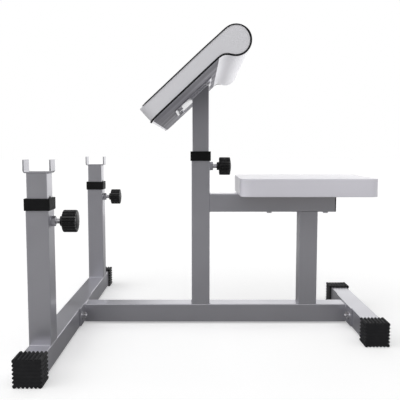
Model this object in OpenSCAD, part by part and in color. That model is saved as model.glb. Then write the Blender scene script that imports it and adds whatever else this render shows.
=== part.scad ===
// Preacher curl bench: a free-standing square-tube frame with a fixed seat,
// a telescoping mast that carries a sloped arm pad, and two telescoping
// uprights that carry bar catches. Millimetres, +Z up.
// X runs along the bench from the bar rack (-X) to the seat (+X), Y across it.
// The origin is on the floor at the middle of the base.

/* [Frame tubes] */
// Outer width of the square frame tube
tube_w = 50; // [48:0.5:52]
// Wall thickness of the frame tube
tube_t = 2; // [1.5:0.1:2.1]
// Outer width of the telescoping inner tube
inner_w = 45; // [44:0.5:45]
// Wall thickness of the inner tube
inner_t = 2; // [1.5:0.1:2.5]
// Outside corner radius of the tubes
tube_r = 2; // [1.5:0.1:4]

/* [Base] */
// Distance between the middles of the front and rear crossbars
base_len = 792; // [780:1:830]
// Length over the feet of the front crossbar
front_len = 920; // [860:2:980]
// Length over the feet of the rear crossbar
rear_len = 436; // [400:2:520]
// Thickness of the flange plates at the beam's ends
flange_t = 5; // [4:0.5:6]
// Width of the flange plates across the bench
flange_w = 156; // [150:1:170]
// Distance between the two bolts of a flange plate
flange_pitch = 120; // [112:1:126]

/* [Feet] */
// Outer width and height of a ribbed rubber foot
foot_w = 62; // [60:0.5:64]
// Length of a rubber foot along the crossbar
foot_len = 50; // [44:1:60]
// Depth of the grooves between the ribs
groove_d = 2.2; // [1.2:0.1:2.6]
// Spacing of the ribs
groove_pitch = 8.8; // [8.4:0.1:9]

/* [Bar rack] */
// Distance between the middles of the two uprights
rack_pitch = 672; // [640:2:700]
// Height of the top of the upright's collar above the floor
rack_collar_z = 381.5; // [360:0.5:420]
// Height of the upright's locking pin
rack_pin_z = 330.2; // [325:0.1:335]
// Height of the top of the rack's inner tubes at rest
rack_top_z = 436.5; // [434:0.5:450]
// Length of strap between the arms of a bar catch, inside
catch_in = 55; // [50:0.5:58]
// Width of the catch strap
catch_w = 39; // [36:0.5:44]
// Thickness of the catch strap
catch_t = 3; // [2.5:0.1:4]
// Height of the catch arms above the inner tube
catch_h = 29.2; // [24:0.1:36]

/* [Mast] */
// Distance from the front crossbar to the mast
mast_off = 355; // [345:1:365]
// Height of the top of the mast's collar
mast_collar_z = 483.4; // [470:0.2:500]
// Height of the mast's locking pin
mast_pin_z = 442.6; // [436:0.2:446]
// Spacing of the adjusting holes
hole_pitch = 50; // [50:1:50]

/* [Arm pad] */
// Slope of the arm pad in degrees
pad_slope = 42.85; // [42:0.05:45]
// Distance of the armpit roll's middle from the mast
roll_off = 79.3; // [76:0.1:84]
// Height of the armpit roll's middle
roll_z = 733; // [730:0.5:738]
// Radius of the armpit roll
roll_r = 36.2; // [35:0.1:37.3]
// Height of the pad's face above the roll's middle, measured square to the face
pad_top = 37.3; // [37.3:0.1:39]
// Depth of the pad's underside below the roll's middle
pad_under = 3.8; // [2:0.1:6]
// Length of the pad from the roll's middle to its lower end
pad_len = 265.5; // [255:0.5:285]
// Width of the arm pad
pad_w = 565; // [520:1:600]
// Corner radius at the pad's lower end
pad_r = 24; // [15:1:35]

/* [Seat] */
// Distance of the seat post from the mast
post_off = 299.5; // [290:0.5:305]
// Height of the underside of the seat tube
seat_tube_z = 316.7; // [300:0.1:330]
// Distance from the mast to the end of the seat tube
seat_tube_end = 374.5; // [374:0.5:380]
// Distance from the mast to the near edge of the seat
seat_x = 102.5; // [96:0.5:108]
// Length of the seat along the bench
seat_len = 357; // [348:1:360]
// Width of the seat
seat_w = 280; // [260:1:320]
// Thickness of the seat
seat_h = 46.6; // [40:0.1:55]
// Corner radius of the seat
seat_r = 27; // [15:1:40]

/* [Lock knobs] */
// Diameter of the knob over its ribs
knob_d = 49.5; // [46:0.5:51]
// Length of the knob's ribbed body
knob_len = 31; // [28:1:32]
// Diameter of the locking pin
pin_d = 12; // [11.6:0.1:12]

/* [Hidden] */
$fn = 64;

eps = 0.01;
front_x = -base_len / 2;                 // middle of the front crossbar
rear_x = base_len / 2;                   // middle of the rear crossbar
mast_x = front_x + mast_off;             // middle of the mast
post_x = mast_x + post_off;              // middle of the seat post
bar_z = foot_w / 2;                      // middle height of the base tubes
bar_top = bar_z + tube_w / 2;            // top of the base tubes
rack_y = rack_pitch / 2;
collar_h = 26;                           // height of a collar
collar_lip = 3.2;                        // thickness of a collar over the tube's end
collar_w = tube_w + 6;                   // outer width of a collar
slide_gap = 0.3;                         // room between a collar and the inner tube
rack_tube_top = rack_collar_z - collar_lip;
mast_tube_top = mast_collar_z - collar_lip;
rack_bottom_z = 130;                     // lower end of the rack's inner tubes at rest
mast_bottom_z = 200;                     // lower end of the mast's inner tube at rest
flange_z = 34;                           // middle height of the flange plates
flange_h = 50;
fbolt_r = 5;                             // flange bolt M10
sbolt_r = 4;                             // pad bolt M8
bracket_t = 5;
bracket_s = [-206, -77];                 // lower and upper ends along the slope
bracket_w = 180;
pad_bolt_s = [-192, -91];
pad_bolt_y = 70;
board_t = 12;
seat_top_tube = seat_tube_z + tube_w;    // the seat's underside
seat_bolt_x = [mast_x + 193, mast_x + 351];
cap_t = 3;                               // end cap thickness
pin_r = pin_d / 2;
run = 0.05;                              // radial running clearance
boss_af = 20;                            // weld nut across flats
boss_l = 9.5;
pin_tip = inner_w / 2 + 0.8;             // pin tip's distance from the tube's middle
neck_x = 20;                             // start of the knob's neck from the tube's face
neck_l = 6.4;
neck_r = 11.4;
pin_in_knob = 21.5;

// colours as seen
c_silver = [0.55, 0.55, 0.57];
c_light = [0.72, 0.72, 0.74];
c_black = [0.12, 0.12, 0.13];
c_rubber = [0.09, 0.09, 0.10];
c_vinyl = [0.90, 0.90, 0.91];
c_zinc = [0.80, 0.80, 0.82];
c_board = [0.50, 0.48, 0.47];

// ---------- shared shapes ----------
// square with rounded corners
module rsq(a, b, r) {
    union() {
        square([a, b - 2 * r], center = true);
        square([a - 2 * r, b], center = true);
        for (sx = [-1, 1], sy = [-1, 1])
            translate([sx * (a / 2 - r), sy * (b / 2 - r)]) circle(r = r);
    }
}
// hollow square tube of length l along Z from the origin
module tube(w, t, r, l) {
    difference() {
        linear_extrude(height = l) rsq(w, w, r);
        translate([0, 0, -1]) linear_extrude(height = l + 2) rsq(w - 2 * t, w - 2 * t, max(r - t, 0.5));
    }
}
module tube_z(x, y, z0, z1, w = tube_w, t = tube_t) {
    translate([x, y, z0]) tube(w, t, tube_r, z1 - z0);
}
module tube_x(y, z, x0, x1) {
    translate([x0, y, z]) rotate([0, 90, 0]) tube(tube_w, tube_t, tube_r, x1 - x0);
}
module tube_y(x, z, y0, y1) {
    translate([x, y1, z]) rotate([90, 0, 0]) tube(tube_w, tube_t, tube_r, y1 - y0);
}
// round bar along X from x0 to x1
module rod_x(x0, x1, y, z, r) {
    translate([x0, y, z]) rotate([0, 90, 0]) cylinder(h = x1 - x0, r = r);
}
// frame of the arm pad: X up the slope, Z out of the pad's face, at the roll's middle
module pad_frame() {
    translate([mast_x + roll_off, 0, roll_z]) rotate([0, -pad_slope, 0]) children();
}
// hexagon across flats af, height h
module hex(af, h) {
    cylinder(h = h, r = af / 2 / cos(30), $fn = 6);
}

// ---------- base ----------
module base_beam() {
    color(c_silver)
        tube_x(0, bar_z, front_x + tube_w / 2 + flange_t, rear_x - tube_w / 2 - flange_t);
}
// flange plate with its outer face at x = 0, on the +X side
module flange_plate() {
    difference() {
        translate([0, -flange_w / 2, flange_z - flange_h / 2]) cube([flange_t, flange_w, flange_h]);
        for (s = [-1, 1]) rod_x(-1, flange_t + 1, s * flange_pitch / 2, flange_z, fbolt_r + 0.5);
    }
}
module front_flange_plate() {
    color(c_silver) translate([front_x + tube_w / 2, 0, 0]) flange_plate();
}
module rear_flange_plate() {
    color(c_silver) translate([rear_x - tube_w / 2, 0, 0]) mirror([1, 0, 0]) flange_plate();
}
module crossbar(x, len) {
    half = len / 2 - 6.5;
    difference() {
        tube_y(x, bar_z, -half, half);
        for (s = [-1, 1])
            rod_x(x - tube_w, x + tube_w, s * flange_pitch / 2, flange_z, fbolt_r + 0.5);
    }
}
module front_crossbar() { color(c_silver) crossbar(front_x, front_len); }
module rear_crossbar() { color(c_silver) crossbar(rear_x, rear_len); }

// one bolt, head on the crossbar's outer face, along +X from the head
wash_t = 2;
bolt_through = wash_t + tube_w + flange_t + wash_t + 11;
module flange_bolt() {
    union() {
        rotate([0, 90, 0]) cylinder(h = bolt_through, r = fbolt_r);
        translate([-6.4, 0, 0]) rotate([0, 90, 0]) hex(17, 6.4);
    }
}
module flange_places() {
    for (s = [-1, 1]) {
        translate([front_x - tube_w / 2 - wash_t, s * flange_pitch / 2, flange_z]) children();
        translate([rear_x + tube_w / 2 + wash_t, s * flange_pitch / 2, flange_z])
            mirror([1, 0, 0]) children();
    }
}
module flange_bolts() { color(c_zinc) flange_places() flange_bolt(); }
module flange_washers() {
    color(c_zinc) flange_places()
        for (x = [0, wash_t + tube_w + flange_t])
            translate([x, 0, 0]) rotate([0, 90, 0]) difference() {
                cylinder(h = wash_t, r = 10.5);
                translate([0, 0, -1]) cylinder(h = wash_t + 2, r = fbolt_r + run);
            }
}
module flange_nuts() {
    color(c_zinc) flange_places()
        translate([2 * wash_t + tube_w + flange_t, 0, 0]) rotate([0, 90, 0]) difference() {
            hex(17, 8.2);
            translate([0, 0, -1]) cylinder(h = 12, r = fbolt_r + run);
        }
}

// ---------- rubber feet ----------
// one side's outline points, from the corner at -h to the corner at +h, face outward +v
function groove_side(h) = concat([[-h, h]],
    [for (i = [-3:2]) let (c = (i + 0.5) * groove_pitch)
        each [[c - 2.9, h], [c - 1, h - groove_d], [c + 1, h - groove_d], [c + 2.9, h]]]);
function turn(p, k) = k == 0 ? p : k == 1 ? [p[1], -p[0]] : k == 2 ? [-p[0], -p[1]] : [-p[1], p[0]];
module foot_outline() {
    polygon([for (k = [0:3]) for (p = groove_side(foot_w / 2)) turn(p, k)]);
}
// ribbed cup: open end at y = 0, closed end at y = foot_len
module foot() {
    h = foot_w / 2;
    difference() {
        translate([0, foot_len, 0]) rotate([90, 0, 0]) linear_extrude(height = foot_len) foot_outline();
        translate([0, foot_len - 6.5, 0]) rotate([90, 0, 0])
            linear_extrude(height = foot_len) rsq(tube_w, tube_w, tube_r);
        for (i = [-3:2]) let (c = (i + 0.5) * groove_pitch)
            translate([-h - 1, foot_len, c]) rotate([90, 0, 90]) linear_extrude(height = 2 * h + 2)
                polygon([[0.5, -3.29], [0.5, 3.29], [0, 2.9], [-groove_d + 0.6, 1], [-groove_d + 0.6, -1], [0, -2.9]]);
    }
}
module foot_at(x, len, s) {
    color(c_rubber) translate([x, s * (len / 2 - foot_len), bar_z])
        mirror([0, s < 0 ? 1 : 0, 0]) foot();
}
module front_left_foot() { foot_at(front_x, front_len, -1); }
module front_right_foot() { foot_at(front_x, front_len, 1); }
module rear_left_foot() { foot_at(rear_x, rear_len, -1); }
module rear_right_foot() { foot_at(rear_x, rear_len, 1); }

// ---------- uprights, mast and seat frame ----------
module outer_post(x, y, top, pin_z) {
    difference() {
        tube_z(x, y, bar_top, top);
        rod_x(x, x + tube_w, y, pin_z, pin_r + 0.5);
    }
}
module left_upright() { color(c_silver) outer_post(front_x, -rack_y, rack_tube_top, rack_pin_z); }
module right_upright() { color(c_silver) outer_post(front_x, rack_y, rack_tube_top, rack_pin_z); }
module lower_mast() { color(c_silver) outer_post(mast_x, 0, mast_tube_top, mast_pin_z); }
module seat_post() { color(c_silver) tube_z(post_x, 0, bar_top, seat_tube_z); }
module seat_tube() {
    color(c_silver) difference() {
        tube_x(0, seat_tube_z + tube_w / 2, mast_x + tube_w / 2, mast_x + seat_tube_end - cap_t);
        for (x = seat_bolt_x)
            translate([x, 0, seat_tube_z - 1]) cylinder(h = tube_w + 2, r = sbolt_r + 0.5);
    }
}
module seat_tube_end_cap() {
    x1 = mast_x + seat_tube_end;
    w = tube_w - 2 * tube_t;
    color(c_black) translate([x1, 0, seat_tube_z + tube_w / 2]) rotate([0, -90, 0]) union() {
        linear_extrude(height = cap_t) rsq(tube_w, tube_w, tube_r);
        difference() {
            linear_extrude(height = cap_t + 9) rsq(w - 0.2, w - 0.2, 1.5);
            translate([0, 0, cap_t]) linear_extrude(height = 14) rsq(w - 5, w - 5, 1);
        }
    }
}
// black sleeve over the end of an outer tube, top at z
module collar(x, y, z) {
    color(c_black) translate([x, y, z - collar_h]) difference() {
        linear_extrude(height = collar_h) rsq(collar_w, collar_w, 3);
        translate([0, 0, -1]) linear_extrude(height = collar_h - collar_lip + 1) rsq(tube_w, tube_w, tube_r);
        translate([0, 0, -1]) linear_extrude(height = collar_h + 2)
            rsq(inner_w + 2 * slide_gap, inner_w + 2 * slide_gap, tube_r);
    }
}
module left_collar() { collar(front_x, -rack_y, rack_collar_z); }
module right_collar() { collar(front_x, rack_y, rack_collar_z); }
module mast_collar() { collar(mast_x, 0, mast_collar_z); }

// ---------- locks ----------
// places with the origin on the tube's middle at the pin's height
module left_lock() { translate([front_x, -rack_y, rack_pin_z]) children(); }
module right_lock() { translate([front_x, rack_y, rack_pin_z]) children(); }
module mast_lock() { translate([mast_x, 0, mast_pin_z]) children(); }
module boss() {
    translate([tube_w / 2, 0, 0]) rotate([0, 90, 0]) difference() {
        hex(boss_af, boss_l);
        translate([0, 0, -1]) cylinder(h = boss_l + 2, r = pin_r + run);
    }
}
module lock_bosses() {
    color(c_silver) { left_lock() boss(); right_lock() boss(); mast_lock() boss(); }
}
module lock_pin() {
    end = tube_w / 2 + neck_x + pin_in_knob;
    color(c_zinc) rotate([0, 90, 0]) rotate_extrude()
        polygon([[0, pin_tip], [pin_r - 1, pin_tip], [pin_r, pin_tip + 1], [pin_r, end], [0, end]]);
}
module left_lock_pin() { left_lock() lock_pin(); }
module right_lock_pin() { right_lock() lock_pin(); }
module mast_lock_pin() { mast_lock() lock_pin(); }
module knob() {
    x0 = tube_w / 2 + neck_x;
    r = knob_d / 2;
    color(c_black) translate([x0, 0, 0]) rotate([0, 90, 0]) difference() {
        union() {
            rotate_extrude() polygon([[0, 0], [neck_r - 2.4, 0], [neck_r - 0.6, 2.2], [neck_r, neck_l + 1],
                [r - 3.6, neck_l + 1], [r - 2.4, neck_l + 3], [r - 2.4, neck_l + knob_len - 2],
                [r - 4, neck_l + knob_len], [r - 9, neck_l + knob_len + 1.6],
                [r - 15, neck_l + knob_len + 2.4], [0, neck_l + knob_len + 2.6]]);
            translate([0, 0, neck_l]) linear_extrude(height = knob_len - 1) union() {
                circle(r = r - 2.4);
                for (i = [0:19]) rotate(i * 18) translate([r - 3, 0]) square([6, 4.2], center = true);
            }
        }
        translate([0, 0, -1]) cylinder(h = pin_in_knob + 1.5, r = pin_r + run);
    }
}
module left_knob() { left_lock() knob(); }
module right_knob() { right_lock() knob(); }
module mast_knob() { mast_lock() knob(); }

// ---------- bar rack's sliding parts ----------
// inner tube with adjusting holes in its +X wall, k0 to k1 steps from the pin
module inner_tube(x, y, z0, z1, pin_z, k0, k1) {
    difference() {
        tube_z(x, y, z0, z1, inner_w, inner_t);
        for (k = [k0:k1]) rod_x(x + inner_w / 4, x + inner_w, y, pin_z + k * hole_pitch, pin_r + 0.5);
    }
}
// black plug in the lower end of an inner tube
module plug(x, y, z) {
    w = inner_w - 2 * inner_t;
    color(c_black) translate([x, y, z]) union() {
        translate([0, 0, -2.5]) linear_extrude(height = 2.5) rsq(inner_w, inner_w, tube_r);
        difference() {
            translate([0, 0, -eps]) linear_extrude(height = 14) rsq(w - 0.2, w - 0.2, 1.5);
            linear_extrude(height = 15) rsq(w - 5, w - 5, 1);
        }
    }
}
module left_rack_tube() {
    color(c_light) inner_tube(front_x, -rack_y, rack_bottom_z, rack_top_z, rack_pin_z, -3, 1);
}
module right_rack_tube() {
    color(c_light) inner_tube(front_x, rack_y, rack_bottom_z, rack_top_z, rack_pin_z, -3, 1);
}
module left_rack_plug() { plug(front_x, -rack_y, rack_bottom_z); }
module right_rack_plug() { plug(front_x, rack_y, rack_bottom_z); }
// bent strap, open upward
module catch_profile() {
    w = catch_in + 2 * catch_t;
    ro = catch_t + 2.5;
    difference() {
        union() {
            translate([-w / 2, ro]) square([w, catch_h - ro]);
            translate([-w / 2 + ro, 0]) square([w - 2 * ro, ro + 1]);
            for (s = [-1, 1]) translate([s * (w / 2 - ro), ro]) circle(r = ro);
        }
        union() {
            translate([-catch_in / 2, ro]) square([catch_in, catch_h]);
            translate([-catch_in / 2 + 2.5, catch_t]) square([catch_in - 5, catch_h]);
            for (s = [-1, 1]) translate([s * (catch_in / 2 - 2.5), ro]) circle(r = 2.5);
        }
    }
}
module bar_catch(y) {
    color(c_light) translate([front_x, y + catch_w / 2, rack_top_z]) rotate([90, 0, 0])
        linear_extrude(height = catch_w) catch_profile();
}
module left_bar_catch() { bar_catch(-rack_y); }
module right_bar_catch() { bar_catch(rack_y); }

// ---------- mast's sliding parts and arm pad ----------
module upper_mast_tube() {
    color(c_light) difference() {
        inner_tube(mast_x, 0, mast_bottom_z, roll_z, mast_pin_z, -3, 2);
        pad_frame() translate([-500, -100, -pad_under - bracket_t]) cube([800, 200, 300]);
    }
}
module upper_mast_plug() { plug(mast_x, 0, mast_bottom_z); }
module pad_bolt_places() {
    pad_frame() for (s = pad_bolt_s, y = [-pad_bolt_y, pad_bolt_y]) translate([s, y, 0]) children();
}
module arm_pad_bracket() {
    color(c_light) difference() {
        pad_frame() translate([bracket_s[0], -bracket_w / 2, -pad_under - bracket_t])
            cube([bracket_s[1] - bracket_s[0], bracket_w, bracket_t]);
        pad_bolt_places() translate([0, 0, -20]) cylinder(h = 30, r = sbolt_r + 0.5);
    }
}
module arm_pad_washers() {
    color(c_zinc) pad_bolt_places() translate([0, 0, -pad_under - bracket_t - 1.4]) difference() {
        cylinder(h = 1.4, r = 8);
        translate([0, 0, -1]) cylinder(h = 4, r = sbolt_r + run);
    }
}
module arm_pad_bolts() {
    z = -pad_under - bracket_t - 1.4;
    color(c_zinc) pad_bolt_places() union() {
        translate([0, 0, z]) cylinder(h = 16, r = sbolt_r);
        translate([0, 0, z - 5]) hex(13, 5);
    }
}
// flanged nut pressed into a board; top at z = 0
module tee_nut() {
    difference() {
        union() {
            translate([0, 0, -1.6]) cylinder(h = 1.6, r = 9);
            translate([0, 0, -10.6]) cylinder(h = 10, r = 5);
        }
        translate([0, 0, -12]) cylinder(h = 14, r = sbolt_r + run);
    }
}
module tee_nut_space() {
    translate([0, 0, -1.6]) cylinder(h = 2, r = 9);
    translate([0, 0, -board_t - 1]) cylinder(h = board_t + 2, r = 5);
}
module arm_pad_tee_nuts() {
    color(c_zinc) pad_bolt_places() translate([0, 0, -pad_under + board_t]) tee_nut();
}
board_s = [-pad_len + 12, -58];
board_y = pad_w / 2 - 14;
module arm_pad_board() {
    color(c_board) difference() {
        pad_frame() translate([board_s[0], -board_y, -pad_under])
            cube([board_s[1] - board_s[0], 2 * board_y, board_t]);
        pad_bolt_places() translate([0, 0, -pad_under + board_t]) tee_nut_space();
    }
}
module pad_profile() {
    fr = 20;
    fs = sqrt(pow(roll_r + fr, 2) - pow(pad_under + fr, 2));
    k = 0.98 * roll_r / (roll_r + fr);
    union() {
        circle(r = roll_r);
        polygon([[-pad_len, -pad_under], [5, -pad_under], [5, roll_r - 0.8], [-70, pad_top], [-pad_len, pad_top]]);
        difference() {
            polygon([[-fs, -pad_under], [-fs * k, -(pad_under + fr) * k], [-10, 0], [-20, 5], [-fs, 5]]);
            translate([-fs + 0.3, -pad_under - fr + 0.2]) circle(r = fr);
        }
    }
}
module pad_plan() {
    union() {
        translate([-pad_len + pad_r, -pad_w / 2]) square([pad_len + 60, pad_w]);
        translate([-pad_len, -pad_w / 2 + pad_r]) square([pad_r + 1, pad_w - 2 * pad_r]);
        for (s = [-1, 1]) translate([-pad_len + pad_r, s * (pad_w / 2 - pad_r)]) circle(r = pad_r);
    }
}
module arm_pad_cushion() {
    color(c_vinyl) pad_frame() difference() {
        intersection() {
            translate([0, pad_w / 2, 0]) rotate([90, 0, 0]) linear_extrude(height = pad_w) pad_profile();
            translate([0, 0, -60]) linear_extrude(height = 120) pad_plan();
        }
        translate([board_s[0], -board_y, -pad_under - 10])
            cube([board_s[1] - board_s[0], 2 * board_y, board_t + 10]);
    }
}

// ---------- seat ----------
module seat_cushion() {
    color(c_vinyl) difference() {
        translate([mast_x + seat_x + seat_len / 2, 0, seat_top_tube])
            linear_extrude(height = seat_h) rsq(seat_len, seat_w, seat_r);
        translate([mast_x + seat_x + 12, -seat_w / 2 + 12, seat_top_tube - 1])
            cube([seat_len - 24, seat_w - 24, board_t + 1]);
    }
}
module seat_board() {
    color(c_board) difference() {
        translate([mast_x + seat_x + 12, -seat_w / 2 + 12, seat_top_tube])
            cube([seat_len - 24, seat_w - 24, board_t]);
        for (x = seat_bolt_x) translate([x, 0, seat_top_tube + board_t]) tee_nut_space();
    }
}
module seat_tee_nuts() {
    color(c_zinc) for (x = seat_bolt_x) translate([x, 0, seat_top_tube + board_t]) tee_nut();
}
module seat_washers() {
    color(c_zinc) for (x = seat_bolt_x) translate([x, 0, seat_tube_z - 1.4]) difference() {
        cylinder(h = 1.4, r = 8);
        translate([0, 0, -1]) cylinder(h = 4, r = sbolt_r + run);
    }
}
module seat_bolts() {
    color(c_zinc) for (x = seat_bolt_x) translate([x, 0, seat_tube_z - 1.4]) union() {
        cylinder(h = tube_w + 11.5, r = sbolt_r);
        translate([0, 0, -4]) hex(13, 4);
    }
}

base_beam();
front_flange_plate();
rear_flange_plate();
front_crossbar();
rear_crossbar();
flange_bolts();
flange_washers();
flange_nuts();
front_left_foot();
front_right_foot();
rear_left_foot();
rear_right_foot();
left_upright();
right_upright();
lower_mast();
seat_post();
seat_tube();
seat_tube_end_cap();
left_collar();
right_collar();
mast_collar();
lock_bosses();
seat_board();
seat_cushion();
seat_bolts();
seat_washers();
seat_tee_nuts();
left_rack_tube();
left_rack_plug();
left_bar_catch();
right_rack_tube();
right_rack_plug();
right_bar_catch();
upper_mast_tube();
upper_mast_plug();
arm_pad_bracket();
arm_pad_bolts();
arm_pad_washers();
arm_pad_tee_nuts();
arm_pad_board();
arm_pad_cushion();
left_lock_pin();
right_lock_pin();
mast_lock_pin();
left_knob();
right_knob();
mast_knob();
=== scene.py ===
import math

import bmesh
import bpy
import numpy as np
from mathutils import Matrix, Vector
from mathutils.bvhtree import BVHTree


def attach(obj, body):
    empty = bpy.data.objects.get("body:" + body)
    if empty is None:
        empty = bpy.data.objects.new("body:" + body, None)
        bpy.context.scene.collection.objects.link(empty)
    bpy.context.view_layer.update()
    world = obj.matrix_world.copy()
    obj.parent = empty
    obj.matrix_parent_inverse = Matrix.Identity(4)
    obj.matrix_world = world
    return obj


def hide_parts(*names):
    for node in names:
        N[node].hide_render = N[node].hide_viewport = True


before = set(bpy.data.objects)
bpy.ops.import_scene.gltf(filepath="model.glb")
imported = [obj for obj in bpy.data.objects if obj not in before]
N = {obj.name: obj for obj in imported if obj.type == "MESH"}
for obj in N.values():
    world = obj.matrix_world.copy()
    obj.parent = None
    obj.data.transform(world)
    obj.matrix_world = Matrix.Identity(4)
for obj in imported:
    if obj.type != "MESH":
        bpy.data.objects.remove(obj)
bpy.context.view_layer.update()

scene = bpy.context.scene
MM = 0.001


# ------------------------------------------------------------------ helpers
def smooth01(t):
    t = np.clip(t, 0.0, 1.0)
    return t * t * (3 - 2 * t)


def make(name, verts, faces, smooth=True):
    me = bpy.data.meshes.new(name)
    me.from_pydata([tuple(float(c) for c in v) for v in verts], [], [tuple(int(i) for i in f) for f in faces])
    me.validate()
    me.update()
    if smooth:
        me.polygons.foreach_set("use_smooth", [True] * len(me.polygons))
    ob = bpy.data.objects.new(name, me)
    scene.collection.objects.link(ob)
    return ob


def outward(ob):
    bm = bmesh.new()
    bm.from_mesh(ob.data)
    bmesh.ops.recalc_face_normals(bm, faces=bm.faces[:])
    bm.to_mesh(ob.data)
    bm.free()


def finish_piece(ob, body, slot, mat, *nodes):
    ob.data.materials.clear()
    ob.data.materials.append(mat)
    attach(ob, body)
    if nodes:
        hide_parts(*nodes)
    return ob


def weighted(ob, angle=40):
    """Keeps flat faces flat beside rounded edges."""
    ob.data.set_sharp_from_angle(angle=math.radians(angle))


def rsq_path(w, h, r, per=6):
    """Rounded rectangle, counter-clockwise, centred: list of (x, y)."""
    pts = []
    for cx, cy, a0 in ((w / 2 - r, h / 2 - r, 0), (-w / 2 + r, h / 2 - r, 90), (-w / 2 + r, -h / 2 + r, 180), (w / 2 - r, -h / 2 + r, 270)):
        for i in range(per + 1):
            a = math.radians(a0 + 90 * i / per)
            pts.append((cx + r * math.cos(a), cy + r * math.sin(a)))
    return pts


def resample(pts, step, closed=False):
    p = np.array(pts, float)
    if closed:
        p = np.vstack([p, p[:1]])
    d = np.concatenate([[0], np.cumsum(np.linalg.norm(np.diff(p, axis=0), axis=1))])
    n = max(2, int(round(d[-1] / step)))
    t = np.linspace(0, d[-1], n + 1)
    if closed:
        t = t[:-1]
    return np.stack([np.interp(t, d, p[:, k]) for k in range(p.shape[1])], 1)


def sweep(name, path, radius, sides=10, closed=True, flat=1.0, up=None):
    """A round bead along a path; radius is a number or one value a point."""
    p = np.array(path, float)
    n = len(p)
    rad = np.full(n, radius, float) if np.isscalar(radius) else np.array(radius, float)
    if closed:
        tan = np.roll(p, -1, 0) - np.roll(p, 1, 0)
    else:
        tan = np.gradient(p, axis=0)
    tan /= np.linalg.norm(tan, axis=1)[:, None] + 1e-12
    a = np.zeros_like(tan)
    ref = np.array([0.0, 0.0, 1.0]) if up is None else np.array(up, float)
    x = np.cross(tan[0], ref)
    if np.linalg.norm(x) < 1e-4:
        x = np.cross(tan[0], [1.0, 0.0, 0.0])
    x /= np.linalg.norm(x)
    a[0] = x
    for i in range(1, n):
        v = a[i - 1] - tan[i] * np.dot(a[i - 1], tan[i])
        a[i] = v / (np.linalg.norm(v) + 1e-12)
    b = np.cross(tan, a)
    if closed:
        # takes out the twist that builds up round the loop
        v = a[-1] - tan[0] * np.dot(a[-1], tan[0])
        v /= np.linalg.norm(v)
        ang = math.atan2(np.dot(v, b[0]), np.dot(v, a[0]))
        for i in range(n):
            t = -ang * i / n
            ai, bi = a[i].copy(), b[i].copy()
            a[i] = ai * math.cos(t) + bi * math.sin(t)
            b[i] = -ai * math.sin(t) + bi * math.cos(t)
    verts, faces = [], []
    for i in range(n):
        for k in range(sides):
            q = 2 * math.pi * k / sides
            verts.append(p[i] + (a[i] * math.cos(q) + b[i] * math.sin(q) * flat) * rad[i])
    rng = n if closed else n - 1
    for i in range(rng):
        j = (i + 1) % n
        for k in range(sides):
            k2 = (k + 1) % sides
            faces.append((i * sides + k, i * sides + k2, j * sides + k2, j * sides + k))
    if not closed:
        faces.append(tuple(range(sides))[::-1])
        faces.append(tuple((n - 1) * sides + k for k in range(sides)))
    ob = make(name, verts, faces)
    outward(ob)
    return ob


def join(name, obs):
    bm = bmesh.new()
    for o in obs:
        bm.from_mesh(o.data)
    me = bpy.data.meshes.new(name)
    bm.to_mesh(me)
    bm.free()
    me.polygons.foreach_set("use_smooth", [True] * len(me.polygons))
    ob = bpy.data.objects.new(name, me)
    scene.collection.objects.link(ob)
    for o in obs:
        m = o.data
        bpy.data.objects.remove(o)
        bpy.data.meshes.remove(m)
    return ob


# ------------------------------------------------------------------ materials
def lin(h):
    """sRGB hex to linear."""
    out = []
    for i in (0, 2, 4):
        c = int(h[i:i + 2], 16) / 255
        out.append(c / 12.92 if c <= 0.04045 else ((c + 0.055) / 1.055) ** 2.4)
    return out


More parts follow.
